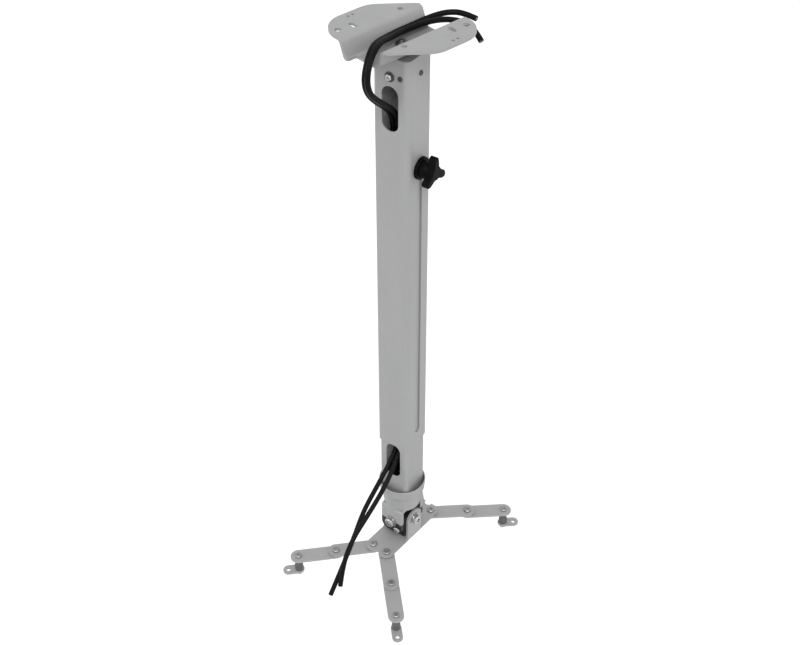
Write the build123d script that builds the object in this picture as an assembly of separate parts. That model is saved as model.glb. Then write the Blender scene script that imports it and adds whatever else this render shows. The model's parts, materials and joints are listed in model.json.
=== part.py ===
from build123d import *
import os
from math import atan2, cos, radians, sin, tan

# Telescopic ceiling mount for a projector, in millimetres.
# The origin is in the ceiling plane, at the middle of the ceiling plate, with +Z up.
# The plate's cable trough runs along Y. The column below is turned on its bolt by COLUMN_TURN.

# Fits
SLIDE_GAP = 0.3        # between the two tubes, on each side
RUN_GAP = 0.06         # round a pivot screw, on the radius
FACE_GAP = 0.2         # between flat faces that turn on each other
SEAT_GAP = 0.1         # round a fixed plug or screw, on each side

# Ceiling plate, a pressed sheet with two wings and a trough between them
SHEET = 3.0
TROUGH_DEPTH = 20.0
TROUGH_FLOOR = 28.0
WALL_RUN = 8.0         # sideways run of each sloping wall
BEND = 4.0             # radius inside each fold
WING_EDGE = 59.0       # from the centre line to a wing's outer edge
WING_LONG = 60.0       # from the middle to a wing's far end
WING_SHORT = 46.0      # from the middle to its near end
TAPER_FROM = 27.0      # across, where the near end starts to slant
TAPER_TO = 6.0         # along, where the slant meets the outer edge
LONG_CORNER = 29.0
TAPER_CORNER = 6.0
SHORT_CORNER = 30.0
STEP_CORNER = 5.0
CEILING_HOLE = (37.5, 50.0)
CEILING_HOLE_R = 3.5
INNER_HOLE = (30.0, 24.0)
INNER_HOLE_R = 3.0
WING_SLOT = (35.0, 33.0)
WING_SLOT_LENGTH = 11.0
WING_SLOT_WIDTH = 5.0
TRIM_HOLE = (52.0, 25.0)
TRIM_HOLE_STEP = 6.0
TRIM_HOLE_R = 1.6

# Column
COLUMN_TURN = 14.5
TUBE = 44.0
TUBE_WALL = 1.6
TUBE_CORNER = 7.2
WINDOW_WIDTH = 20.0
WINDOW_HEIGHT = 52.0
WINDOW_DROP = 17.0     # below the top of the outer tube
PLUG_HEAD = 15.0       # of the plug between the plate and the outer tube
PLUG_DEPTH = 15.0      # of the plug inside the outer tube
SCREW_REACH = 6.0      # of the plug's small screws behind the tube's face
PLATE_BOLT_R = 4.0
PLATE_BOLT_HEAD_R = 7.0
PLATE_BOLT_HEAD = 4.4
FRONT_BOLT_DROP = 6.0
FRONT_BOLT_R = 2.5
FRONT_BOLT_HEAD_R = 3.6
FRONT_WASHER_R = 5.4
FRONT_WASHER = 1.2
PLUG_SCREW_R = 1.7
PLUG_SCREW_HEAD_R = 2.8
PLUG_SCREW_HEAD = 1.4
PLUG_SCREW_DROP = 5.0
PLUG_SCREW_SIDE = 12.4
INNER_SHOWN = 88.0     # of the inner tube below the outer one, pushed in
INNER_ABOVE_STUD = 24.0
LOW_WINDOW_HEIGHT = 53.0
LOW_WINDOW_ABOVE_END = 33.0   # from the inner tube's end to the window's lower edge
SLIDE_CAP_FLANGE = 2.5
SLIDE_CAP_DEPTH = 9.0
SLIDE_CAP_WALL = 2.0

# Clamp knob on the +X face
STUD_DROP = 116.0      # below the top of the outer tube
STUD_R = 4.0
TRAVEL = 377.0
SLOT_FOOT = 21.0       # of the outer tube below the stud's lowest place
NUT_SIDE = 22.0
NUT_THICK = 6.0
CLAMP_WASHER_R = 12.5
CLAMP_WASHER = 4.0
KNOB_BASE_R = 9.5
KNOB_NECK_R = 7.4
KNOB_LENGTH = 17.0
KNOB_CAP = 3.0         # of the knob beyond the stud's end
KNOB_LOBE_THICK = 8.0
KNOB_LOBE_REACH = 14.5
KNOB_LOBE_R = 4.4
KNOB_HUB_R = 8.0
KNOB_ROUND = 1.2
LOBES = 3

# Joint under the column
CUP_WALL = 1.6
CUP_GAP = 0.3          # between the cup and the inner tube's corners
CUP_FLARE = 1.0        # how much wider the rim is than the socket's floor, on the radius
CUP_SOCKET = 13.0      # depth of the cup's socket for the inner tube
CUP_FLOOR = 5.0
CUP_NECK_R = 25.6
CUP_FOOT_R = 23.0
CUP_BODY = 26.0        # from the socket's floor to the cup's underside
CUP_SKIRT = 2.6        # thickness of the wall round the hollow underside
CUP_LIP = 0.5
END_PLUG_DEPTH = 24.0
HUB_BOLT_R = 4.0
HUB_BOLT_HEAD_R = 7.0
HUB_BOLT_HEAD = 5.0
YOKE = 4.0             # thickness of the black yoke under the cup
YOKE_WIDTH = 32.0
YOKE_FOOT = 18.0       # of the yoke's ears below the pivot axes
YOKE_CORNER = 10.5     # clear of the base plate's ears when both axes are tilted
PIVOT_DROP = 24.0      # from the cup's underside to the two pivot axes
BLOCK = 34.0
BLOCK_TOP = 10.0       # above the pivot axes
BLOCK_FOOT = 24.0      # below them
BLOCK_ROUND = 2.5
YOKE_EAR = 5.0
EAR_R = 13.5
PIVOT_R = 4.0
PIVOT_HEAD_R = 6.5
PIVOT_HEAD = 5.0
PIVOT_WASHER_R = 8.0
PIVOT_WASHER = 1.2
PIVOT_DEPTH = 11.0     # of a pivot bolt inside the block
TILT = 15.0            # each way
LOCK_REACH = 13.5      # from the roll axis to the lock screw
LOCK_ANGLE = -45.0
LOCK_R = 2.5
LOCK_HEAD_R = 4.2
LOCK_HEAD = 3.0
LOCK_DEPTH = 8.0       # of the lock screw inside the block
BASE_TURN = -4.6       # of the joint under the column, about the column
BASE_SHEET = 3.0
BASE_DROP = 31.0       # from the pivot axes to the top of the base plate
BASE_CORNER = 10.0
BASE_BEND = 3.0

# Arms
ARM_NAMES = ("left", "front", "right", "rear")
ARM_SIDES = ((-1, -1), (1, -1), (1, 1), (-1, 1))
ARM_ANGLES = (-132.5, -44.0, 42.5, 136.0)
ROOT_X = 11.0
ROOT_Y = 46.0
NOTCH_R = 5.0
LINK_PITCH = 48.5
LINK_WIDTH = 20.0
LINK_SHEET = 2.5
LINK_SCREW_R = 3.0
LINK_HEAD_R = 4.8
LINK_HEAD = 2.6
LINK_NUT_FLATS = 10.0
LINK_NUT = 4.0
SOCKET_FLATS = 4.0
SOCKET_DEPTH = 1.5
FOOT_STUD_R = 2.5
FOOT_HEAD_R = 4.3
SPACER_LENGTH = 21.0
SPACER_TOP_R = 3.9
SPACER_FOOT_R = 5.4
FOOT_SHEET = 3.0
FOOT_WIDTH = 13.5
FOOT_PITCH = 14.0
FOOT_HOLE_R = 2.6
FOOT_NUT_FLATS = 8.0
FOOT_NUT = 4.0

# Cables
CABLE = 6.0

# Levels that follow from the sizes above
FLOOR_TOP = -TROUGH_DEPTH
FLOOR_UNDER = FLOOR_TOP - SHEET
TUBE_TOP = FLOOR_UNDER - PLUG_HEAD
TUBE_END = TUBE_TOP - STUD_DROP - TRAVEL - SLOT_FOOT
STUD_Z = TUBE_TOP - STUD_DROP
TUBE_BORE = TUBE - 2 * TUBE_WALL
BORE_CORNER = TUBE_CORNER - TUBE_WALL
INNER = TUBE_BORE - 2 * SLIDE_GAP
INNER_CORNER = BORE_CORNER - SLIDE_GAP
INNER_BORE = INNER - 2 * TUBE_WALL
INNER_BORE_CORNER = INNER_CORNER - TUBE_WALL
INNER_TOP = STUD_Z + INNER_ABOVE_STUD
INNER_END = TUBE_END - INNER_SHOWN
INNER_REACH = (INNER / 2 - INNER_CORNER) * 2 ** 0.5 + INNER_CORNER
SOCKET_R = INNER_REACH + CUP_GAP
CUP_UNDER = INNER_END - CUP_BODY
PIVOT_Z = CUP_UNDER - PIVOT_DROP
EAR_FACE = BLOCK / 2 + FACE_GAP
BASE_TOP = PIVOT_Z - BASE_DROP
BASE_UNDER = BASE_TOP - BASE_SHEET
BASE_WIDTH = 2 * (EAR_FACE + BASE_SHEET)
INNER_LINK_TOP = BASE_UNDER - FACE_GAP
INNER_LINK_UNDER = INNER_LINK_TOP - LINK_SHEET
OUTER_LINK_TOP = INNER_LINK_UNDER - FACE_GAP
OUTER_LINK_UNDER = OUTER_LINK_TOP - LINK_SHEET
FOOT_TOP = OUTER_LINK_UNDER - SPACER_LENGTH - FACE_GAP
FOOT_UNDER = FOOT_TOP - FOOT_SHEET
FOOT_NUT_TOP = FOOT_UNDER - FACE_GAP
CLAMP_FACE = TUBE / 2 + FACE_GAP
KNOB_FACE = CLAMP_FACE + CLAMP_WASHER

TURN = Rot(0, 0, COLUMN_TURN)
LOW_TURN = Rot(0, 0, COLUMN_TURN + BASE_TURN)
nodes = {}


def bar(side, corner, top, bottom):
    """An upright square bar with rounded corners."""
    return Pos(0, 0, bottom) * extrude(RectangleRounded(side, side, corner), top - bottom)


def rod(start, axis, radius, length):
    """A cylinder from a point along an axis."""
    return extrude(Plane(origin=start, z_dir=axis) * Circle(radius), length)


def hexagon(start, axis, flats, length):
    """A hexagonal prism from a point along an axis."""
    shape = RegularPolygon(flats / 2, 6, major_radius=False)
    return extrude(Plane(origin=start, z_dir=axis) * shape, length)


def front_plane(x, y, z):
    """A plane that faces -Y, with its own x along X and its own y up."""
    return Plane(origin=(x, y, z), x_dir=(1, 0, 0), z_dir=(0, -1, 0))


def side_plane(x, y, z):
    """A plane that faces +X, with its own x along Y and its own y up."""
    return Plane(origin=(x, y, z), x_dir=(0, 1, 0), z_dir=(1, 0, 0))


def along(point, axis, distance):
    """The point moved along an axis."""
    return tuple(Vector(*point) + Vector(*axis) * distance)


def cap_screw(seat, axis, head_r, head, shank_r, shank, flats=SOCKET_FLATS, depth=SOCKET_DEPTH):
    """A round-headed socket screw: the head stands on the seat along the axis, the shank goes the other way."""
    cap = rod(seat, axis, head_r, head)
    rim = cap.edges().filter_by(GeomType.CIRCLE).sort_by_distance(along(seat, axis, head))[0]
    cap = chamfer(rim, head * 0.3)
    socket = hexagon(along(seat, axis, head - depth), axis, flats, depth)
    return cap - socket + rod(seat, tuple(Vector(*axis) * -1), shank_r, shank)


def ring(start, axis, outer, inner, length):
    """A washer from a point along an axis."""
    return rod(start, axis, outer, length) - rod(start, axis, inner, length)


def ceiling_plate():
    """A hat section of bent sheet, trimmed to its outline in plan."""
    floor = TROUGH_FLOOR / 2
    mouth = floor + WALL_RUN
    lean = SHEET * tan(atan2(TROUGH_DEPTH, WALL_RUN) / 2)
    top = [(WING_EDGE, 0), (mouth, 0), (floor, FLOOR_TOP)]
    under = [(WING_EDGE, -SHEET), (mouth + lean, -SHEET), (floor + lean, FLOOR_UNDER)]
    right = top[::-1] + under
    outline = [(-x, z) for x, z in top] + right + [(-x, z) for x, z in under[::-1]]
    section = make_face(Polyline(*outline, close=True))
    inside = [(mouth + lean, -SHEET), (floor, FLOOR_TOP)]
    outside = [(mouth, 0), (floor + lean, FLOOR_UNDER)]
    for points, radius in ((inside, BEND), (outside, BEND + SHEET)):
        for x, z in points:
            for side in (-1, 1):
                corner = section.vertices().sort_by_distance((side * x, z, 0))[0]
                section = fillet(corner, radius)
    length = 2 * WING_LONG
    upright = Plane(origin=(0, length / 2, 0), x_dir=(1, 0, 0), z_dir=(0, -1, 0))
    folded = extrude(upright * section, length)
    half = [
        (-WING_EDGE, -WING_LONG),
        (-floor, -WING_LONG),
        (-floor, -WING_SHORT),
        (TAPER_FROM, -WING_SHORT),
        (WING_EDGE, -TAPER_TO),
    ]
    rounds = (LONG_CORNER, STEP_CORNER, STEP_CORNER / 2, TAPER_CORNER, SHORT_CORNER)
    plan = make_face(Polyline(*half, *[(-x, -y) for x, y in half], close=True))
    for (x, y), radius in zip(half, rounds):
        for side in (-1, 1):
            corner = plan.vertices().sort_by_distance((side * x, side * y, 0))[0]
            plan = fillet(corner, radius)
    plan -= Circle(PLATE_BOLT_R + SEAT_GAP)
    for side in (-1, 1):
        plan -= Pos(side * CEILING_HOLE[0], side * CEILING_HOLE[1]) * Circle(CEILING_HOLE_R)
        plan -= Pos(-side * INNER_HOLE[0], side * INNER_HOLE[1]) * Circle(INNER_HOLE_R)
        plan -= Pos(side * WING_SLOT[0], side * WING_SLOT[1]) * SlotOverall(WING_SLOT_LENGTH, WING_SLOT_WIDTH)
        for step in (0, TRIM_HOLE_STEP):
            plan -= Pos(side * TRIM_HOLE[0], side * (TRIM_HOLE[1] - step)) * Circle(TRIM_HOLE_R)
    depth = TROUGH_DEPTH + 2 * SHEET
    return folded & Pos(0, 0, -depth) * extrude(plan, depth + SHEET)


def top_plug():
    """A cast plug: a head of the tube's outline under the plate, and a foot inside the tube."""
    skirt = TUBE_BORE - 2 * SEAT_GAP
    low = TUBE_TOP - PLUG_DEPTH
    plug = bar(TUBE, TUBE_CORNER, FLOOR_UNDER, TUBE_TOP) + bar(skirt, BORE_CORNER - SEAT_GAP, TUBE_TOP, low)
    plug -= rod((0, 0, FLOOR_UNDER), (0, 0, -1), PLATE_BOLT_R + SEAT_GAP, PLUG_HEAD + PLUG_DEPTH)
    for _, screw_hole in plug_screws():
        plug -= screw_hole
    return plug - rod(front_bolt_seat(), (0, 1, 0), FRONT_BOLT_R + SEAT_GAP, TUBE_WALL + SCREW_REACH + SEAT_GAP)


def front_bolt_seat():
    """Where the front bolt enters the outer tube's front face."""
    return (0, -TUBE / 2, TUBE_TOP - FRONT_BOLT_DROP)


def plug_screws():
    """Each small screw of the top plug, with the hole that it needs."""
    half = TUBE / 2
    level = TUBE_TOP - PLUG_SCREW_DROP
    faces = (
        ((PLUG_SCREW_SIDE, -half, level), (0, -1, 0)),
        ((half, 0, level), (1, 0, 0)),
        ((-PLUG_SCREW_SIDE, half, level), (0, 1, 0)),
        ((-half, 0, level), (-1, 0, 0)),
    )
    reach = TUBE_WALL + SCREW_REACH
    found = []
    for seat, axis in faces:
        inward = tuple(Vector(*axis) * -1)
        screw = cap_screw(seat, axis, PLUG_SCREW_HEAD_R, PLUG_SCREW_HEAD, PLUG_SCREW_R, reach, 2.0, 0.8)
        found.append((screw, rod(seat, inward, PLUG_SCREW_R + SEAT_GAP, reach + SEAT_GAP)))
    return found


def outer_tube():
    """The upper tube, with the cable window in front and the clamp slot on the +X face."""
    tube = bar(TUBE, TUBE_CORNER, TUBE_TOP, TUBE_END) - bar(TUBE_BORE, BORE_CORNER, TUBE_TOP, TUBE_END)
    middle = TUBE_TOP - WINDOW_DROP - WINDOW_HEIGHT / 2
    window = Rot(0, 0, 90) * SlotOverall(WINDOW_HEIGHT, WINDOW_WIDTH)
    tube -= extrude(front_plane(0, -TUBE_BORE / 2 + TUBE_WALL, middle) * window, 3 * TUBE_WALL)
    slot = Rot(0, 0, 90) * SlotCenterToCenter(TRAVEL, 2 * (STUD_R + SLIDE_GAP))
    tube -= extrude(side_plane(TUBE_BORE / 2 - TUBE_WALL, 0, STUD_Z - TRAVEL / 2) * slot, 3 * TUBE_WALL)
    for _, screw_hole in plug_screws():
        tube -= screw_hole
    return tube - rod(front_bolt_seat(), (0, 1, 0), FRONT_BOLT_R + SEAT_GAP, 2 * TUBE_WALL)


def inner_tube():
    """The sliding tube, with its own cable window in front and the stud's hole on the +X face."""
    tube = bar(INNER, INNER_CORNER, INNER_TOP, INNER_END) - bar(INNER_BORE, INNER_BORE_CORNER, INNER_TOP, INNER_END)
    middle = INNER_END + LOW_WINDOW_ABOVE_END + LOW_WINDOW_HEIGHT / 2
    window = Rot(0, 0, 90) * SlotOverall(LOW_WINDOW_HEIGHT, WINDOW_WIDTH)
    tube -= extrude(front_plane(0, -INNER_BORE / 2 + TUBE_WALL, middle) * window, 3 * TUBE_WALL)
    return tube - rod((INNER_BORE / 2 - TUBE_WALL, 0, STUD_Z), (1, 0, 0), STUD_R + SLIDE_GAP, 3 * TUBE_WALL)


def slide_cap():
    """A plastic ring on the inner tube's upper end, which glides in the outer tube."""
    flange = bar(TUBE_BORE - SLIDE_GAP, BORE_CORNER - SLIDE_GAP / 2, INNER_TOP + SLIDE_CAP_FLANGE, INNER_TOP)
    skirt = INNER_BORE - 2 * SEAT_GAP
    low = INNER_TOP - SLIDE_CAP_DEPTH
    cap = flange + bar(skirt, INNER_BORE_CORNER - SEAT_GAP, INNER_TOP, low)
    inside = skirt - 2 * SLIDE_CAP_WALL
    return cap - bar(inside, INNER_BORE_CORNER / 2, INNER_TOP + SLIDE_CAP_FLANGE, low)


def nut_plate():
    """The square nut behind the inner tube's wall, which the stud screws into."""
    nut = Box(NUT_THICK, NUT_SIDE, NUT_SIDE)
    nut = chamfer(nut.edges().filter_by(Axis.X), 2.0)
    face = INNER_BORE / 2
    nut = Pos(face - NUT_THICK / 2, 0, STUD_Z) * nut
    return nut - rod((face - NUT_THICK, 0, STUD_Z), (1, 0, 0), STUD_R + RUN_GAP, NUT_THICK)


def knob():
    """A three-lobed hand knob on a tapering neck."""
    lobe_start = KNOB_LENGTH - KNOB_LOBE_THICK
    profile = [
        (0, 0),
        (0, KNOB_BASE_R),
        (KNOB_LOBE_R, KNOB_BASE_R),
        (lobe_start, KNOB_NECK_R),
        (KNOB_LENGTH, KNOB_NECK_R),
        (KNOB_LENGTH, 0),
    ]
    neck = revolve(Plane.XZ * make_face(Polyline(*profile, close=True)), Axis.X)
    head = Circle(KNOB_HUB_R)
    for count in range(LOBES):
        tip = Pos(0, KNOB_LOBE_REACH) * Circle(KNOB_LOBE_R)
        head += Rot(0, 0, count * 360 / LOBES) * make_hull((Circle(KNOB_LOBE_R * 1.25).edges() + tip.edges()))
    lobes = extrude(side_plane(lobe_start, 0, 0) * head, KNOB_LOBE_THICK)
    rims = lobes.faces().sort_by(Axis.X)[-1].outer_wire().edges()
    lobes = chamfer(rims, KNOB_ROUND)
    hole = rod((0, 0, 0), (1, 0, 0), STUD_R + SEAT_GAP, KNOB_LENGTH - KNOB_CAP)
    return Pos(KNOB_FACE, 0, STUD_Z) * (neck + lobes - hole)


def clamp_stud():
    """The threaded stud, from the square nut into the knob."""
    start = INNER_BORE / 2 - NUT_THICK
    return rod((start, 0, STUD_Z), (1, 0, 0), STUD_R, KNOB_FACE + KNOB_LENGTH - KNOB_CAP - start)


def joint_cup():
    """A turned cup under the inner tube, hollow from below."""
    rim = INNER_END + CUP_SOCKET
    shoulder = INNER_END - CUP_FLOOR
    profile = [
        (0, INNER_END),
        (SOCKET_R, INNER_END),
        (SOCKET_R + CUP_FLARE, rim),
        (SOCKET_R + CUP_FLARE + CUP_WALL, rim),
        (SOCKET_R + CUP_WALL, INNER_END),
        (CUP_NECK_R, shoulder),
        (CUP_FOOT_R, CUP_UNDER),
        (CUP_FOOT_R - CUP_SKIRT, CUP_UNDER),
        (CUP_NECK_R - CUP_SKIRT, shoulder),
        (0, shoulder),
    ]
    face = make_face(Polyline(*profile, close=True))
    for r in (SOCKET_R + CUP_FLARE, SOCKET_R + CUP_FLARE + CUP_WALL):
        face = chamfer(face.vertices().sort_by_distance((r, rim, 0))[0], CUP_LIP)
    cup = revolve(Plane.XZ * face, Axis.Z)
    return cup - rod((0, 0, INNER_END), (0, 0, -1), HUB_BOLT_R + SEAT_GAP, CUP_FLOOR)


def roll_yoke():
    """The black yoke under the cup: a front and a rear ear for the roll pivots, and a slot for the lock screw."""
    ear_out = EAR_FACE + YOKE_EAR
    yoke = Pos(0, 0, CUP_UNDER - YOKE) * extrude(Rectangle(YOKE_WIDTH, 2 * ear_out), YOKE)
    height = PIVOT_DROP + YOKE_FOOT
    shape = Pos(0, PIVOT_DROP - height / 2) * Rectangle(YOKE_WIDTH, height)
    for corner in shape.vertices().sort_by(Axis.Y)[:2]:
        shape = fillet(shape.vertices().sort_by_distance(corner.center())[0], YOKE_CORNER)
    shape -= Circle(PIVOT_R + RUN_GAP)
    arc = CenterArc((0, 0), LOCK_REACH, LOCK_ANGLE - TILT, 2 * TILT)
    slot = SlotArc(arc, 2 * (LOCK_R + SLIDE_GAP))
    yoke += extrude(front_plane(0, -EAR_FACE, PIVOT_Z) * (shape - slot), YOKE_EAR)
    yoke += extrude(front_plane(0, ear_out, PIVOT_Z) * shape, YOKE_EAR)
    for side in (-1, 1):
        fold = yoke.edges().filter_by(Axis.X).sort_by_distance((0, side * ear_out, CUP_UNDER))[0]
        yoke = fillet(fold, YOKE * 0.8)
    return yoke - rod((0, 0, CUP_UNDER), (0, 0, -1), HUB_BOLT_R + SEAT_GAP, YOKE)


def lock_place(y):
    """The lock screw's place on a plane across the roll axis."""
    angle = radians(LOCK_ANGLE)
    return (LOCK_REACH * cos(angle), y, PIVOT_Z + LOCK_REACH * sin(angle))


def end_plug():
    """The block inside the inner tube's lower end, which the cup's bolt screws into."""
    side = INNER_BORE - 2 * SEAT_GAP
    plug = bar(side, INNER_BORE_CORNER - SEAT_GAP, INNER_END + END_PLUG_DEPTH, INNER_END)
    return plug - rod((0, 0, INNER_END), (0, 0, 1), HUB_BOLT_R + SEAT_GAP, END_PLUG_DEPTH)


def gimbal_block():
    """The black block that carries both pivot axes."""
    block = Pos(0, 0, (BLOCK_TOP - BLOCK_FOOT) / 2) * Box(BLOCK, BLOCK, BLOCK_TOP + BLOCK_FOOT)
    block = fillet(block.edges().filter_by(Axis.Z), BLOCK_ROUND)
    block = chamfer(block.faces().sort_by(Axis.Z)[-1].edges() + block.faces().sort_by(Axis.Z)[0].edges(), 1.0)
    block = Pos(0, 0, PIVOT_Z) * block
    for axis in ((1, 0, 0), (-1, 0, 0), (0, 1, 0), (0, -1, 0)):
        start = along((0, 0, PIVOT_Z), axis, BLOCK / 2 - PIVOT_DEPTH)
        block -= rod(start, axis, PIVOT_R + SEAT_GAP, PIVOT_DEPTH)
    return block - rod(lock_place(-BLOCK / 2), (0, 1, 0), LOCK_R + SEAT_GAP, LOCK_DEPTH)


def pivot_bolts(axes, face):
    """A bolt and a washer on each of two ears, at a distance from the middle."""
    bolts, washers = [], []
    for axis in axes:
        seat = along((0, 0, PIVOT_Z), axis, face + FACE_GAP)
        top = along(seat, axis, PIVOT_WASHER)
        shank = face + FACE_GAP + PIVOT_WASHER - (BLOCK / 2 - PIVOT_DEPTH)
        washers.append(ring(seat, axis, PIVOT_WASHER_R, PIVOT_R + SEAT_GAP, PIVOT_WASHER))
        bolts.append(cap_screw(top, axis, PIVOT_HEAD_R, PIVOT_HEAD, PIVOT_R, shank, 5.0, 2.5))
    return Compound(bolts), Compound(washers)


def base_plate():
    """The folded plate that carries the arms, with an ear at each side for the tilt pivots."""
    plan = RectangleRounded(BASE_WIDTH, 2 * (ROOT_Y + BASE_CORNER), BASE_CORNER)
    for x, y in ARM_SIDES:
        plan -= Pos(x * ROOT_X, y * ROOT_Y) * Circle(LINK_SCREW_R + SEAT_GAP)
    for side in (-1, 1):
        plan -= Pos(0, side * (ROOT_Y + BASE_CORNER)) * Circle(NOTCH_R)
    plate = Pos(0, 0, BASE_UNDER) * extrude(plan, BASE_SHEET)
    shape = Circle(EAR_R) + Pos(0, -BASE_DROP / 2) * Rectangle(2 * EAR_R, BASE_DROP)
    shape -= Circle(PIVOT_R + RUN_GAP)
    for x in (EAR_FACE, -EAR_FACE - BASE_SHEET):
        plate += extrude(side_plane(x, 0, PIVOT_Z) * shape, BASE_SHEET)
    for side in (-1, 1):
        near = plate.edges().filter_by(Axis.Y).sort_by_distance((side * EAR_FACE, 0, BASE_TOP))[0]
        plate = fillet(near, BASE_BEND)
        far = plate.edges().filter_by(Axis.Y).sort_by_distance((side * BASE_WIDTH / 2, 0, BASE_UNDER))[0]
        plate = fillet(far, BASE_BEND * 0.9)
    return plate


def link(end_r):
    """A flat link along X, with its root hole at the origin and its end hole one pitch away."""
    plan = Pos(LINK_PITCH / 2, 0) * SlotCenterToCenter(LINK_PITCH, LINK_WIDTH)
    plan -= Circle(LINK_SCREW_R + RUN_GAP)
    plan -= Pos(LINK_PITCH, 0) * Circle(end_r)
    return extrude(plan, LINK_SHEET)


def link_screw(top, under):
    """A pivot screw through two sheets, from its head's seat to below the lower one."""
    shank = top - under + FACE_GAP + LINK_NUT
    return cap_screw((0, 0, top), (0, 0, 1), LINK_HEAD_R, LINK_HEAD, LINK_SCREW_R, shank)


def link_nut(under):
    """The lock nut under a pivot's lower sheet."""
    nut = hexagon((0, 0, under - FACE_GAP), (0, 0, -1), LINK_NUT_FLATS, LINK_NUT)
    return nut - rod((0, 0, under - FACE_GAP), (0, 0, -1), LINK_SCREW_R + RUN_GAP, LINK_NUT)


def foot_stud():
    """The screw that hangs from an outer link's end and carries a foot."""
    shank = OUTER_LINK_TOP - FOOT_NUT_TOP + FOOT_NUT
    return cap_screw((0, 0, OUTER_LINK_TOP), (0, 0, 1), FOOT_HEAD_R, LINK_HEAD, FOOT_STUD_R, shank, 3.0)


def foot_spacer():
    """The black tapered spacer between an outer link and its foot."""
    profile = [
        (FOOT_STUD_R + SEAT_GAP, OUTER_LINK_UNDER),
        (SPACER_TOP_R, OUTER_LINK_UNDER),
        (SPACER_TOP_R, OUTER_LINK_UNDER - SPACER_LENGTH / 3),
        (SPACER_FOOT_R, OUTER_LINK_UNDER - SPACER_LENGTH * 2 / 3),
        (SPACER_FOOT_R, OUTER_LINK_UNDER - SPACER_LENGTH),
        (FOOT_STUD_R + SEAT_GAP, OUTER_LINK_UNDER - SPACER_LENGTH),
    ]
    return revolve(Plane.XZ * make_face(Polyline(*profile, close=True)), Axis.Z)


def foot_lug():
    """The flat lug that a projector's screw goes through."""
    plan = Pos(FOOT_PITCH / 2, 0) * SlotCenterToCenter(FOOT_PITCH, FOOT_WIDTH)
    plan -= Circle(FOOT_STUD_R + RUN_GAP)
    plan -= Pos(FOOT_PITCH, 0) * Circle(FOOT_HOLE_R)
    return Pos(0, 0, FOOT_UNDER) * extrude(plan, FOOT_SHEET)


def foot_nut():
    """The nut under a foot."""
    nut = hexagon((0, 0, FOOT_NUT_TOP), (0, 0, -1), FOOT_NUT_FLATS, FOOT_NUT)
    return nut - rod((0, 0, FOOT_NUT_TOP), (0, 0, -1), FOOT_STUD_R + RUN_GAP, FOOT_NUT)


def cable(name, points):
    """A plain tube along straight runs joined by arcs as large as the runs allow."""
    spots = [Vector(*p) for p in points]
    radii = []
    for before, here, after in zip(spots, spots[1:], spots[2:]):
        into, out = here - before, after - here
        reach = 0.45 * min(into.length, out.length)
        radii.append(reach / tan(radians(into.get_angle(out)) / 2))
    path = FilletPolyline(*spots, radius=radii)
    tube = sweep(Plane(origin=path @ 0, z_dir=path % 0) * Circle(CABLE / 2), path=path)
    section = tube.volume / path.length
    print(name, "length", round(path.length, 1), "tightest", round(min(radii), 1), "section", round(section, 2))
    return tube


# Ceiling plate, plug and upper tube
nodes["ceiling_plate"] = ceiling_plate()
plate_shank = SHEET + PLUG_HEAD + PLUG_DEPTH
nodes["plate_bolt"] = cap_screw(
    (0, 0, FLOOR_TOP), (0, 0, 1), PLATE_BOLT_HEAD_R, PLATE_BOLT_HEAD, PLATE_BOLT_R, plate_shank, 5.0, 2.5
)
nodes["top_plug"] = TURN * top_plug()
nodes["plug_screws"] = TURN * Compound([screw for screw, _ in plug_screws()])
washer_top = along(front_bolt_seat(), (0, -1, 0), FRONT_WASHER)
nodes["front_washer"] = TURN * ring(
    front_bolt_seat(), (0, -1, 0), FRONT_WASHER_R, FRONT_BOLT_R + SEAT_GAP, FRONT_WASHER
)
nodes["front_bolt"] = TURN * cap_screw(
    washer_top, (0, -1, 0), FRONT_BOLT_HEAD_R, 2.4, FRONT_BOLT_R, FRONT_WASHER + TUBE_WALL + SCREW_REACH, 2.5, 1.2
)
nodes["outer_tube"] = TURN * outer_tube()

# Lower tube, clamp and cup
nodes["inner_tube"] = TURN * inner_tube()
nodes["slide_cap"] = TURN * slide_cap()
nodes["nut_plate"] = TURN * nut_plate()
nodes["clamp_washer"] = TURN * ring(
    (CLAMP_FACE, 0, STUD_Z), (1, 0, 0), CLAMP_WASHER_R, STUD_R + SEAT_GAP, CLAMP_WASHER
)
nodes["clamp_knob"] = TURN * knob()
nodes["clamp_stud"] = TURN * clamp_stud()
nodes["joint_cup"] = TURN * joint_cup()
nodes["roll_yoke"] = LOW_TURN * roll_yoke()
nodes["end_plug"] = TURN * end_plug()
hub_shank = YOKE + CUP_BODY + END_PLUG_DEPTH
nodes["hub_bolt"] = TURN * cap_screw(
    (0, 0, CUP_UNDER - YOKE), (0, 0, -1), HUB_BOLT_HEAD_R, HUB_BOLT_HEAD, HUB_BOLT_R, hub_shank, 6.0, 2.5
)

# Tilting joint and base
nodes["gimbal_block"] = LOW_TURN * gimbal_block()
roll_bolts, roll_washers = pivot_bolts(((0, -1, 0), (0, 1, 0)), EAR_FACE + YOKE_EAR)
tilt_bolts, tilt_washers = pivot_bolts(((1, 0, 0), (-1, 0, 0)), EAR_FACE + BASE_SHEET)
nodes["roll_bolts"] = LOW_TURN * roll_bolts
nodes["roll_washers"] = LOW_TURN * roll_washers
nodes["tilt_bolts"] = LOW_TURN * tilt_bolts
nodes["tilt_washers"] = LOW_TURN * tilt_washers
lock_shank = YOKE_EAR + 2 * FACE_GAP + LOCK_DEPTH
nodes["roll_lock"] = LOW_TURN * cap_screw(
    lock_place(-EAR_FACE - YOKE_EAR - FACE_GAP), (0, -1, 0), LOCK_HEAD_R, LOCK_HEAD, LOCK_R, lock_shank, 3.0
)
nodes["base_plate"] = LOW_TURN * base_plate()
roots = [Pos(x * ROOT_X, y * ROOT_Y, 0) for x, y in ARM_SIDES]
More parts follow.
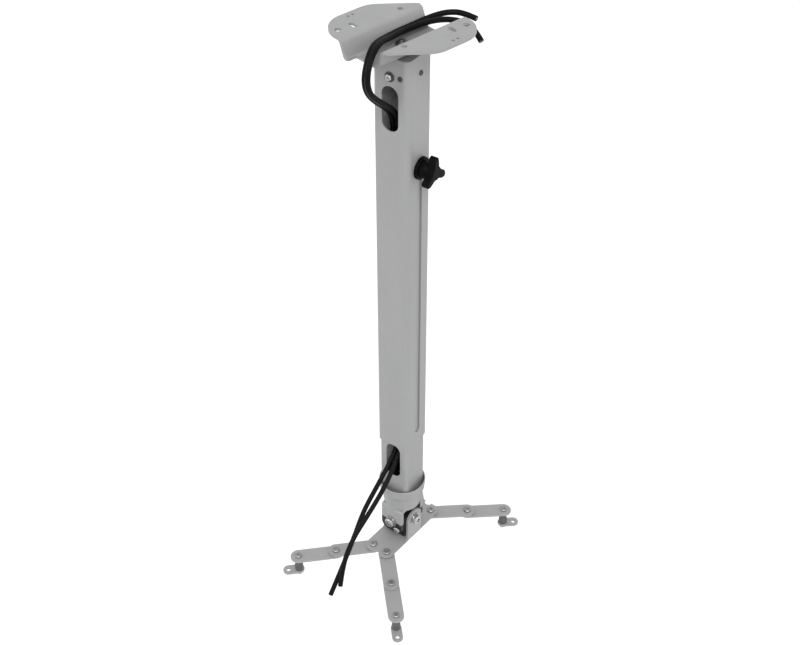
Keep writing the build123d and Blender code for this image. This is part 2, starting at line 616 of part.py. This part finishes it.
nodes["root_screws"] = LOW_TURN * Compound([at * link_screw(BASE_TOP, INNER_LINK_UNDER) for at in roots])
nodes["root_nuts"] = LOW_TURN * Compound([at * link_nut(INNER_LINK_UNDER) for at in roots])

# Arms
for name, at, angle in zip(ARM_NAMES, roots, ARM_ANGLES):
    root = LOW_TURN * at * Rot(0, 0, angle)
    middle = root * Pos(LINK_PITCH, 0, 0)
    end = middle * Pos(LINK_PITCH, 0, 0)
    nodes[f"arm_{name}_inner"] = root * Pos(0, 0, INNER_LINK_UNDER) * link(LINK_SCREW_R + SEAT_GAP)
    nodes[f"arm_{name}_screw"] = middle * Compound(
        [link_screw(INNER_LINK_TOP, OUTER_LINK_UNDER), link_nut(OUTER_LINK_UNDER)]
    )
    nodes[f"arm_{name}_outer"] = middle * Pos(0, 0, OUTER_LINK_UNDER) * link(FOOT_STUD_R + SEAT_GAP)
    nodes[f"foot_{name}_stud"] = end * Compound([foot_stud(), foot_nut()])
    nodes[f"foot_{name}_spacer"] = end * foot_spacer()
    nodes[f"foot_{name}_lug"] = end * foot_lug()

# Cables, in two pairs: over the ceiling plate into the upper window, and out of the lower window
UPPER_CABLE_A = [
    (-2.0, -10.4, -122.0), (-1.9, -10.6, -108.0), (-0.6, -14.1, -92.5), (3.2, -26.0, -77.5), (7.9, -42.4, -63.0),
    (11.4, -55.4, -47.5), (12.5, -59.6, -34.5), (12.2, -58.4, -22.5), (9.5, -52.4, -12.6), (4.4, -44.1, -7.4),
    (-3.0, -32.0, -7.0), (-9.6, -15.5, -10.4), (-13.8, 6.0, -12.0), (-13.8, 28.0, -12.0), (-13.0, 48.5, -10.8),
    (-8.5, 66.5, -10.0), (2.5, 79.0, -10.3), (18.5, 82.5, -12.5),
]
UPPER_CABLE_B = [
    (4.3, -8.0, -121.0), (4.5, -8.1, -107.0), (5.8, -11.6, -91.5), (9.6, -23.5, -76.5), (14.2, -39.9, -62.0),
    (17.8, -52.9, -46.5), (18.9, -57.1, -33.5), (18.6, -55.9, -21.5), (15.8, -49.8, -12.0), (10.7, -41.0, -7.0),
    (3.4, -28.8, -6.6), (-2.9, -13.6, -10.4), (-7.2, 6.0, -12.1), (-7.2, 27.0, -12.1), (-5.6, 45.5, -12.0),
    (0.6, 62.0, -12.6), (12.0, 73.0, -15.5), (25.0, 75.5, -21.0), (35.5, 73.5, -27.5),
]
LOWER_CABLE_A = [
    (-6.971, 14.176, -505.0), (-6.971, 14.176, -524.0), (-5.8, 9.6, -545.0), (-2.9, -3.5, -566.0), (2.6, -24.0, -586.0),
    (9.0, -50.0, -603.0), (15.8, -78.0, -622.0), (22.4, -106.0, -643.5), (28.0, -131.0, -667.0), (31.8, -152.5, -697.0),
]
LOWER_CABLE_B = [
    (-0.775, 15.778, -503.0), (-0.775, 15.778, -522.0), (0.5, 11.2, -543.0), (3.5, -1.9, -564.0), (9.0, -22.4, -584.0),
    (15.4, -48.4, -601.0), (22.2, -76.0, -619.5), (29.6, -102.0, -640.0), (36.6, -124.0, -662.0), (41.8, -141.0, -686.0),
]
nodes["cable_upper_a"] = cable("cable_upper_a", UPPER_CABLE_A)
nodes["cable_upper_b"] = cable("cable_upper_b", UPPER_CABLE_B)
nodes["cable_lower_a"] = cable("cable_lower_a", LOWER_CABLE_A)
nodes["cable_lower_b"] = cable("cable_lower_b", LOWER_CABLE_B)

os.makedirs("parts", exist_ok=True)
for name, shape in nodes.items():
    export_step(shape, f"parts/{name}.step")
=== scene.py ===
import json
import math

import bmesh
import bpy
from mathutils import Matrix, Vector


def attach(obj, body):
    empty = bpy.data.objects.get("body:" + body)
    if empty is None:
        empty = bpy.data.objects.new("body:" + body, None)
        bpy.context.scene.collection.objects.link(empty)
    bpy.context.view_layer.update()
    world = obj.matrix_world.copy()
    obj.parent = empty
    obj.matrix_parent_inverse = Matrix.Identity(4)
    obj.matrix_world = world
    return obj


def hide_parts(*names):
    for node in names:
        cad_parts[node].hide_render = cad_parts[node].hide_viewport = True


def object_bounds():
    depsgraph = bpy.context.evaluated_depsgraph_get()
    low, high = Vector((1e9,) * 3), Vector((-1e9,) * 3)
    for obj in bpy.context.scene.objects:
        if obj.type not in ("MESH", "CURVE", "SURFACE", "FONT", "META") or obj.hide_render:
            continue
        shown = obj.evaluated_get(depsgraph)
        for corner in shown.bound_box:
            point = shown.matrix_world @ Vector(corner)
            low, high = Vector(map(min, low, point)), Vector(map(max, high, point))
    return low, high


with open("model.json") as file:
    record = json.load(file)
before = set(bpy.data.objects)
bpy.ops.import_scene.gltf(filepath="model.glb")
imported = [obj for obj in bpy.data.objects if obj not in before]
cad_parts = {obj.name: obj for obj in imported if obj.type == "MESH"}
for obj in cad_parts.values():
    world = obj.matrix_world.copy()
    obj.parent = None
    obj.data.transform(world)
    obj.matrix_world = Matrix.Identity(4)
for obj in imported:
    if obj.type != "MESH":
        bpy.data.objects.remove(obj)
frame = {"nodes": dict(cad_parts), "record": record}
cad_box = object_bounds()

# A telescopic projector mount, seen from above as in the photograph. Lengths are in metres.

MM = 0.001
COLUMN_TURN = math.radians(14.5)     # the column's turn on the ceiling plate

# Camera, fitted to the column's edges in the photograph
IMAGE_WIDTH = 800.0                  # pixels of the photograph's frame
FOCAL_PIXELS = 1382.0
AXIS_PIXEL = 402.3                   # where the column's axis stands in the frame
SENSOR = 36.0                        # millimetres
CAMERA_PITCH = math.radians(40.0)
CAMERA_TURN = math.radians(34.0)     # from the column's front face towards its knob
CAMERA_REACH = 1.2088                # level distance to the column's axis
CAMERA_HEIGHT = 0.6409               # above the ceiling plane

# Studio
FLOOR_DROP = 0.85                    # below the lowest lug
FLOOR_SIDE = 40.0
FLOOR_SHADE = (0.64, 0.64, 0.64, 1.0)
FLOOR_ROUGHNESS = 0.9
FLOOR_GLOW = 0.35                    # only as the camera and reflections see the floor
WHITE = (1.0, 1.0, 1.0, 1.0)
AMBIENT = 0.74                       # the surround's light on the object

# Each lamp's turn from the camera, height, power and spread, with angles in degrees
LAMPS = {
    "key": (8.0, 49.0, 1.75, 28.0),
    "fill": (-75.0, 25.0, 0.7, 50.0),
    "side": (60.0, 8.0, 0.45, 50.0),
}

# Powder coat's darkest and lightest flakes
FLAKE_DARK = (0.282, 0.283, 0.285)
FLAKE_LIGHT = (0.356, 0.357, 0.359)

# Scales that draw a pattern out along the upright axis
COAT_STREAK = (1.0, 1.0, 0.18)
TUBE_MARK = (1.0, 1.0, 0.1)

# A tube's faces that look at its axis from further away than this are its inside
INSIDE_REACH = 15.0 * MM

# The tilting joint's yoke is painted as the column is down to this level, and black below it
YOKE_BLACK_BELOW = -689.0 * MM
YOKE_BLACK = (0.012, 0.012, 0.012, 1.0)

# Edge rounding of the sheet, turned and moulded parts
SHEET_EDGE = 0.45 * MM
SCREW_EDGE = 0.18 * MM
PLASTIC_EDGE = 0.6 * MM
EDGE_SEGMENTS = 2
EDGE_ANGLE = math.radians(32.0)      # a sharper edge than this is rounded
FLAT_ANGLE = math.radians(0.3)       # faces within this angle are one flat face
WELD_REACH = 0.002 * MM

# Cables
CABLE = 6.0 * MM
CABLE_STEPS = 12                     # between two points of a route
CABLE_ROUNDNESS = 5
CUT_DEPTH = 0.5 * MM                 # of a cut face's wires inside the jacket
CUT_PROUD = 0.05 * MM
CUT_SEGMENTS = 20
CORE_R = 2.1 * MM
WIRES = 3
WIRE_R = 0.6 * MM
WIRE_RING = 1.1 * MM


def node_tree(name):
    """A new material with only its output and a Principled shader."""
    material = bpy.data.materials.new(name)
    material.use_nodes = True
    return material, material.node_tree, material.node_tree.nodes["Principled BSDF"]


def add(tree, kind, **values):
    """A shader node with its attributes and input defaults set."""
    node = tree.nodes.new(kind)
    for key, value in values.items():
        if hasattr(node, key):
            setattr(node, key, value)
        else:
            node.inputs[key].default_value = value
    return node


def noise(tree, scale, detail=2.0, stretch=None):
    """A noise pattern in the object's own metres, stretched along an axis if asked."""
    place = add(tree, "ShaderNodeTexCoord").outputs["Object"]
    if stretch:
        mapping = add(tree, "ShaderNodeMapping")
        mapping.inputs["Scale"].default_value = stretch
        tree.links.new(place, mapping.inputs["Vector"])
        place = mapping.outputs["Vector"]
    pattern = add(tree, "ShaderNodeTexNoise", Scale=scale, Detail=detail)
    tree.links.new(place, pattern.inputs["Vector"])
    return pattern.outputs["Fac"]


def ramp(tree, source, low, high, start=0.3, stop=0.7):
    """Turns a pattern into a blend of two greys or colours."""
    node = add(tree, "ShaderNodeValToRGB")
    for element, place, value in zip(node.color_ramp.elements, (start, stop), (low, high)):
        element.position = place
        element.color = (*value, 1.0) if isinstance(value, tuple) else (value, value, value, 1.0)
    tree.links.new(source, node.inputs["Fac"])
    return node.outputs["Color"]


def bump(tree, shader, source, depth, strength=1.0):
    """Raises the surface by a pattern."""
    node = add(tree, "ShaderNodeBump", Strength=strength, Distance=depth)
    tree.links.new(source, node.inputs["Height"])
    tree.links.new(node.outputs["Normal"], shader.inputs["Normal"])


def powder_coat(name, black_below=None):
    """Silver-grey powder coat: fine flakes, a slight orange peel and faint upright streaks of tone.

    Where a level is given, what lies below it is black.
    """
    material, tree, shader = node_tree(name)
    speckle = noise(tree, scale=2600.0, detail=1.0)
    flakes = ramp(tree, speckle, FLAKE_DARK, FLAKE_LIGHT, start=0.35, stop=0.68)
    tone = ramp(tree, noise(tree, scale=34.0, detail=3.0, stretch=COAT_STREAK), low=0.94, high=1.0)
    mix = add(tree, "ShaderNodeMix", data_type="RGBA", blend_type="MULTIPLY")
    mix.inputs["Factor"].default_value = 1.0
    tree.links.new(flakes, mix.inputs["A"])
    tree.links.new(tone, mix.inputs["B"])
    coat = mix.outputs["Result"]
    if black_below is not None:
        height = add(tree, "ShaderNodeSeparateXYZ")
        tree.links.new(add(tree, "ShaderNodeTexCoord").outputs["Object"], height.inputs["Vector"])
        below = add(tree, "ShaderNodeMath", operation="LESS_THAN")
        tree.links.new(height.outputs["Z"], below.inputs[0])
        below.inputs[1].default_value = black_below
        dip = add(tree, "ShaderNodeMix", data_type="RGBA")
        tree.links.new(below.outputs[0], dip.inputs["Factor"])
        tree.links.new(coat, dip.inputs["A"])
        dip.inputs["B"].default_value = YOKE_BLACK
        coat = dip.outputs["Result"]
    tree.links.new(coat, shader.inputs["Base Color"])
    sheen = ramp(tree, noise(tree, scale=900.0), low=0.40, high=0.54)
    tree.links.new(sheen, shader.inputs["Roughness"])
    shader.inputs["Metallic"].default_value = 0.15
    shader.inputs["Specular IOR Level"].default_value = 0.4
    bump(tree, shader, noise(tree, scale=700.0), depth=0.06 * MM, strength=0.5)
    return material


def bare_sheet_painted_light():
    """Galvanised steel inside the tubes, with a faint spangle and marks along the tube, coloured lighter
    than the coat as painted light in the shaded insides.
    """
    material, tree, shader = node_tree("bare_sheet_painted_light")
    spangle = add(tree, "ShaderNodeTexVoronoi", Scale=260.0)
    tree.links.new(add(tree, "ShaderNodeTexCoord").outputs["Object"], spangle.inputs["Vector"])
    # Lighter than the coat: painted light for the insides, which lie in shade behind the windows
    shade = ramp(tree, spangle.outputs["Color"], low=0.56, high=0.68)
    tree.links.new(shade, shader.inputs["Base Color"])
    marks = ramp(tree, noise(tree, scale=90.0, detail=3.0, stretch=TUBE_MARK), low=0.42, high=0.58)
    tree.links.new(marks, shader.inputs["Roughness"])
    shader.inputs["Metallic"].default_value = 0.2
    return material


def moulded_black(name, shade, rough, grain, gloss, lift=1.7, spread=0.14):
    """Black plastic or paint with a fine grain. Its shade varies by lift, and its roughness by spread."""
    material, tree, shader = node_tree(name)
    tone = ramp(tree, noise(tree, scale=60.0, detail=4.0), low=shade, high=shade * lift)
    tree.links.new(tone, shader.inputs["Base Color"])
    sheen = ramp(tree, noise(tree, scale=grain), low=rough, high=rough + spread)
    tree.links.new(sheen, shader.inputs["Roughness"])
    shader.inputs["Specular IOR Level"].default_value = gloss
    bump(tree, shader, noise(tree, scale=grain, detail=3.0), depth=0.08 * MM, strength=0.55)
    return material


def zinc(name, shade, rough, dull=0.88, spread=0.12):
    """Zinc-plated steel, slightly clouded. Its shade varies by dull, and its roughness by spread."""
    material, tree, shader = node_tree(name)
    clouded = tuple(dull * c for c in shade)
    tone = ramp(tree, noise(tree, scale=320.0, detail=3.0), low=clouded, high=shade)
    tree.links.new(tone, shader.inputs["Base Color"])
    sheen = ramp(tree, noise(tree, scale=500.0), low=rough, high=rough + spread)
    tree.links.new(sheen, shader.inputs["Roughness"])
    shader.inputs["Metallic"].default_value = 1.0
    bump(tree, shader, noise(tree, scale=900.0, detail=1.0), depth=0.01 * MM, strength=0.25)
    return material


def jacket():
    """A smooth black cable jacket with a dusty sheen."""
    material, tree, shader = node_tree("cable_jacket")
    tone = ramp(tree, noise(tree, scale=45.0, detail=4.0), low=0.0025, high=0.005)
    tree.links.new(tone, shader.inputs["Base Color"])
    sheen = ramp(tree, noise(tree, scale=300.0, detail=3.0), low=0.38, high=0.54)
    tree.links.new(sheen, shader.inputs["Roughness"])
    shader.inputs["Specular IOR Level"].default_value = 0.08
    bump(tree, shader, noise(tree, scale=900.0), depth=0.04 * MM, strength=0.4)
    return material


def core(name, shade, metallic, rough, dull=0.75):
    """A cut cable's inside. Its shade varies by dull."""
    material, tree, shader = node_tree(name)
    darker = tuple(dull * c for c in shade)
    tone = ramp(tree, noise(tree, scale=2500.0), low=darker, high=shade)
    tree.links.new(tone, shader.inputs["Base Color"])
    shader.inputs["Metallic"].default_value = metallic
    shader.inputs["Roughness"].default_value = rough
    return material


PAINT = powder_coat("powder_coat")
YOKE_COAT = powder_coat("yoke_coat", YOKE_BLACK_BELOW)
# The tubes' bare insides, coloured lighter than the coat as painted light in their shade
BARE_PAINTED_LIGHT = bare_sheet_painted_light()
PLASTIC = moulded_black("moulded_plastic", shade=0.004, rough=0.44, grain=1500.0, gloss=0.10)
SPACER = moulded_black("spacer_plastic", shade=0.07, rough=0.46, grain=1500.0, gloss=0.25)
KNOB = moulded_black("knob_plastic", shade=0.002, rough=0.42, grain=1100.0, gloss=0.05)
CASTING = moulded_black("black_casting", shade=0.006, rough=0.48, grain=650.0, gloss=0.16)
BRIGHT_ZINC = zinc("bright_zinc", shade=(0.43, 0.43, 0.44), rough=0.26)
DULL_ZINC = zinc("dull_zinc", shade=(0.32, 0.32, 0.33), rough=0.34)
BLACK_STEEL = moulded_black("black_oxide", shade=0.045, rough=0.38, grain=1800.0, gloss=0.2)
JACKET = jacket()
COPPER = core("copper_strands", shade=(0.34, 0.17, 0.10), metallic=1.0, rough=0.40)
SHEATH = core("core_insulation", shade=(0.04, 0.04, 0.04), metallic=0.0, rough=0.5)

# Nodes whose plating is brighter than the other fasteners'
BRIGHT_NODES = ("front_bolt", "roll_bolts", "roll_washers", "roll_lock", "tilt_bolts", "tilt_washers")

# Each material slot's finish and edge rounding
FINISHES = {
    "paint": (PAINT, SHEET_EDGE),
    "plug_black": (PLASTIC, PLASTIC_EDGE),
    "knob_black": (KNOB, PLASTIC_EDGE),
    "block_black": (CASTING, PLASTIC_EDGE),
    "spacer_black": (SPACER, SCREW_EDGE),
    "steel": (DULL_ZINC, SCREW_EDGE),
    "black_steel": (BLACK_STEEL, SCREW_EDGE),
    "cable": (JACKET, 0.0),
}


def dress(obj, material, edge):
    """Gives a CAD node its material and rounds its sharp edges."""
    mesh = obj.data
    mesh.materials.clear()
    mesh.materials.append(material)
    if "custom_normal" in mesh.attributes:
        mesh.attributes.remove(mesh.attributes["custom_normal"])
    mesh.shade_smooth()
    weld = obj.modifiers.new("weld", "WELD")
    weld.merge_threshold = WELD_REACH
    flat = obj.modifiers.new("flat", "DECIMATE")
    flat.decimate_type = "DISSOLVE"
    flat.angle_limit = FLAT_ANGLE
    if edge:
        bevel = obj.modifiers.new("edge", "BEVEL")
        bevel.width = edge
        bevel.segments = EDGE_SEGMENTS
        bevel.limit_method = "ANGLE"
        bevel.angle_limit = EDGE_ANGLE
    normals = obj.modifiers.new("normals", "WEIGHTED_NORMAL")
    normals.keep_sharp = True


for part in frame["record"]["subparts"]:
    finish, edge = FINISHES[part["material_slot"]]
    if part["node"] in BRIGHT_NODES:
        finish = BRIGHT_ZINC
    if part["node"] == "roll_yoke":
        finish, edge = YOKE_COAT, SHEET_EDGE
    dress(frame["nodes"][part["node"]], finish, edge)


def bare_inside_painted_light(obj):
    """Leaves a tube's inside uncoated, in bare sheet coloured lighter as painted light in its shade. Both
    tubes stand on the frame's own upright axis.
    """
    mesh = obj.data
    mesh.materials.append(BARE_PAINTED_LIGHT)
    for face in mesh.polygons:
        if face.center.to_2d().dot(face.normal.to_2d()) < -INSIDE_REACH:
            face.material_index = 1


for tube in ("outer_tube", "inner_tube"):
    bare_inside_painted_light(frame["nodes"][tube])


def cable(name, route, node, body):
    """A smooth cable along the route's points, which are in millimetres."""
    curve = bpy.data.curves.new(name, "CURVE")
    curve.dimensions = "3D"
    curve.resolution_u = CABLE_STEPS
    curve.bevel_depth = CABLE / 2
    curve.bevel_resolution = CABLE_ROUNDNESS
    curve.use_fill_caps = True
    spline = curve.splines.new("NURBS")
    spline.points.add(len(route) - 1)
    for point, place in zip(spline.points, route):
        point.co = (*(c * MM for c in place), 1.0)
    spline.order_u = 3
    spline.use_endpoint_u = True
    curve.materials.append(JACKET)
    obj = bpy.data.objects.new(name, curve)
    bpy.context.collection.objects.link(obj)
    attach(obj, body)
    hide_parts(node)
    return obj


def cut_end(name, tip, before, body):
    """A cable's cut face: its wires, bare copper in insulation, a little proud of the jacket's end."""
    mesh = bpy.data.meshes.new(name)
    shape = bmesh.new()
    discs = [((0.0, 0.0), CORE_R, 0.0, 0)]
    for wire in range(WIRES):
        angle = 2 * math.pi * wire / WIRES
        discs.append(((WIRE_RING * math.cos(angle), WIRE_RING * math.sin(angle)), WIRE_R, CUT_PROUD, 1))
    for (x, y), radius, level, finish in discs:
        made = bmesh.ops.create_cone(
            shape, cap_ends=True, segments=CUT_SEGMENTS, radius1=radius, radius2=radius,
            depth=CUT_DEPTH + CUT_PROUD,
        )["verts"]
        bmesh.ops.translate(shape, verts=made, vec=(x, y, level + (CUT_PROUD - CUT_DEPTH) / 2))
        for side in {f for v in made for f in v.link_faces}:
            side.material_index = finish
    bmesh.ops.recalc_face_normals(shape, faces=shape.faces)
    shape.to_mesh(mesh)
    shape.free()
    mesh.materials.append(SHEATH)
    mesh.materials.append(COPPER)
    obj = bpy.data.objects.new(name, mesh)
    outward = Vector(tip) - Vector(before)
    turn = outward.to_track_quat("Z", "Y").to_matrix().to_4x4()
    obj.matrix_world = Matrix.Translation(Vector(tip) * MM) @ turn
    bpy.context.collection.objects.link(obj)
    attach(obj, body)
    return obj


# Routes of the cables, in millimetres, from inside the tube to the cut end
UPPER_A = [
    (-2.0, -10.4, -122.0), (-1.9, -10.6, -108.0), (-0.6, -14.1, -92.5), (3.2, -26.0, -77.5),
    (7.9, -42.4, -63.0), (11.4, -55.4, -47.5), (12.5, -59.6, -34.5), (12.2, -58.4, -22.5),
    (9.5, -52.4, -12.6), (4.4, -44.1, -7.4), (-3.0, -32.0, -7.0), (-9.6, -15.5, -10.4),
    (-13.8, 6.0, -12.0), (-13.8, 28.0, -12.0), (-13.0, 48.5, -10.8), (-8.5, 66.5, -10.0),
    (2.5, 79.0, -10.3), (18.5, 82.5, -12.5),
]
UPPER_B = [
    (4.3, -8.0, -121.0), (4.5, -8.1, -107.0), (5.8, -11.6, -91.5), (9.6, -23.5, -76.5),
    (14.8, -40.9, -61.7), (18.4, -56.3, -46.5), (19.1, -61.4, -33.3), (18.6, -60.3, -20.3),
    (15.4, -53.6, -9.4), (9.9, -42.8, -4.0), (2.8, -28.8, -4.0), (-3.4, -13.6, -8.2),
    (-7.8, 6.0, -10.0), (-7.8, 27.0, -10.3), (-5.9, 45.5, -11.0), (0.6, 62.0, -12.6),
    (12.0, 73.0, -15.5), (25.0, 75.5, -21.0), (35.5, 73.5, -27.5),
]
LOWER_A = [
    (-6.971, 14.176, -505.0), (-6.971, 14.176, -524.0), (-5.8, 9.6, -545.0), (-2.9, -3.5, -566.0),
    (2.6, -24.0, -586.0), (8.5, -49.3, -603.6), (14.9, -77.0, -623.1), (24.8, -101.0, -644.8),
    (32.7, -125.0, -669.0), (37.8, -150.5, -700.7),
]
LOWER_B = [
    (-0.775, 15.778, -503.0), (-0.775, 15.778, -522.0), (0.5, 11.2, -543.0), (3.5, -1.9, -564.0),
    (9.7, -21.7, -584.0), (18.5, -45.9, -600.5), (24.7, -75.1, -618.4), (28.8, -105.2, -638.7),
    (35.5, -127.1, -661.0), (44.0, -139.7, -686.9),
]

# Each cable's name, route, the node that it stands for, the body that carries it, and its length
CABLES = (
    ("upper_cable_a", UPPER_A, "cable_upper_a", "ceiling_column", 0.287),
    ("upper_cable_b", UPPER_B, "cable_upper_b", "ceiling_column", 0.298),
    ("lower_cable_a", LOWER_A, "cable_lower_a", "inner_column", 0.269),
    ("lower_cable_b", LOWER_B, "cable_lower_b", "inner_column", 0.257),
)
for name, route, node, body, length in CABLES:
    piece = cable(name, route, node, body)
    end = cut_end(name + "_end", route[-1], route[-2], body)


def camera():
    """The photograph's camera: without roll, tilted down, and turned towards the column's axis."""
    data = bpy.data.cameras.new("camera")
    data.sensor_width = SENSOR
    data.lens = FOCAL_PIXELS / IMAGE_WIDTH * SENSOR
    data.shift_x = (IMAGE_WIDTH / 2 - AXIS_PIXEL) / IMAGE_WIDTH
    turn = CAMERA_TURN + COLUMN_TURN
    obj = bpy.data.objects.new("camera", data)
    obj.location = (CAMERA_REACH * math.sin(turn), -CAMERA_REACH * math.cos(turn), CAMERA_HEIGHT)
    obj.rotation_euler = (math.pi / 2 - CAMERA_PITCH, 0.0, turn)
    bpy.context.collection.objects.link(obj)
    bpy.context.scene.camera = obj
    return turn


def sun(name, azimuth, height, power, spread):
    """A soft distant lamp. Azimuth is from -Y towards +X, as for the camera."""
    data = bpy.data.lights.new(name, "SUN")
    data.energy = power
    data.angle = spread
    obj = bpy.data.objects.new(name, data)
    obj.rotation_euler = (math.pi / 2 - height, 0.0, azimuth)
    bpy.context.collection.objects.link(obj)


def seen_or_reflected(tree):
    """1 for rays from the camera and in reflections, 0 for the light on the object."""
    path = add(tree, "ShaderNodeLightPath")
    seen = path.outputs["Is Camera Ray"]
    for kind in ("Is Glossy Ray", "Is Transmission Ray"):
        either = add(tree, "ShaderNodeMath", operation="MAXIMUM")
        tree.links.new(seen, either.inputs[0])
        tree.links.new(path.outputs[kind], either.inputs[1])
        seen = either.outputs[0]
    return seen


def studio(view_turn):
    """A pale floor, a white surround, and soft lamps on the camera's side and at both of its sides."""
    world = bpy.data.worlds.new("studio")
    bpy.context.scene.world = world
    world.use_nodes = True
    tree = world.node_tree
    light = tree.nodes["Background"]
    light.inputs["Strength"].default_value = AMBIENT
    light.inputs["Color"].default_value = WHITE
    white = add(tree, "ShaderNodeBackground", Strength=1.0, Color=WHITE)
    mix = add(tree, "ShaderNodeMixShader")
    tree.links.new(seen_or_reflected(tree), mix.inputs["Fac"])
    tree.links.new(light.outputs[0], mix.inputs[1])
    tree.links.new(white.outputs[0], mix.inputs[2])
    tree.links.new(mix.outputs[0], tree.nodes["World Output"].inputs["Surface"])

    mesh = bpy.data.meshes.new("floor")
    half = FLOOR_SIDE / 2
    corners = [(-half, -half, 0), (half, -half, 0), (half, half, 0), (-half, half, 0)]
    mesh.from_pydata(corners, [], [(0, 1, 2, 3)])
    floor = bpy.data.objects.new("floor", mesh)
    floor.location.z = cad_box[0].z - FLOOR_DROP
    bpy.context.collection.objects.link(floor)
    material, tree, shader = node_tree("pale_floor")
    shader.inputs["Base Color"].default_value = FLOOR_SHADE
    shader.inputs["Roughness"].default_value = FLOOR_ROUGHNESS
    shader.inputs["Emission Color"].default_value = WHITE
    glow = add(tree, "ShaderNodeMath", operation="MULTIPLY")
    tree.links.new(seen_or_reflected(tree), glow.inputs[0])
    glow.inputs[1].default_value = FLOOR_GLOW
    tree.links.new(glow.outputs[0], shader.inputs["Emission Strength"])
    mesh.materials.append(material)

    for name, (turn, height, power, spread) in LAMPS.items():
        sun(name, view_turn + math.radians(turn), math.radians(height), power, math.radians(spread))


view_turn = camera()
studio(view_turn)
bpy.context.scene.view_settings.view_transform = "Standard"
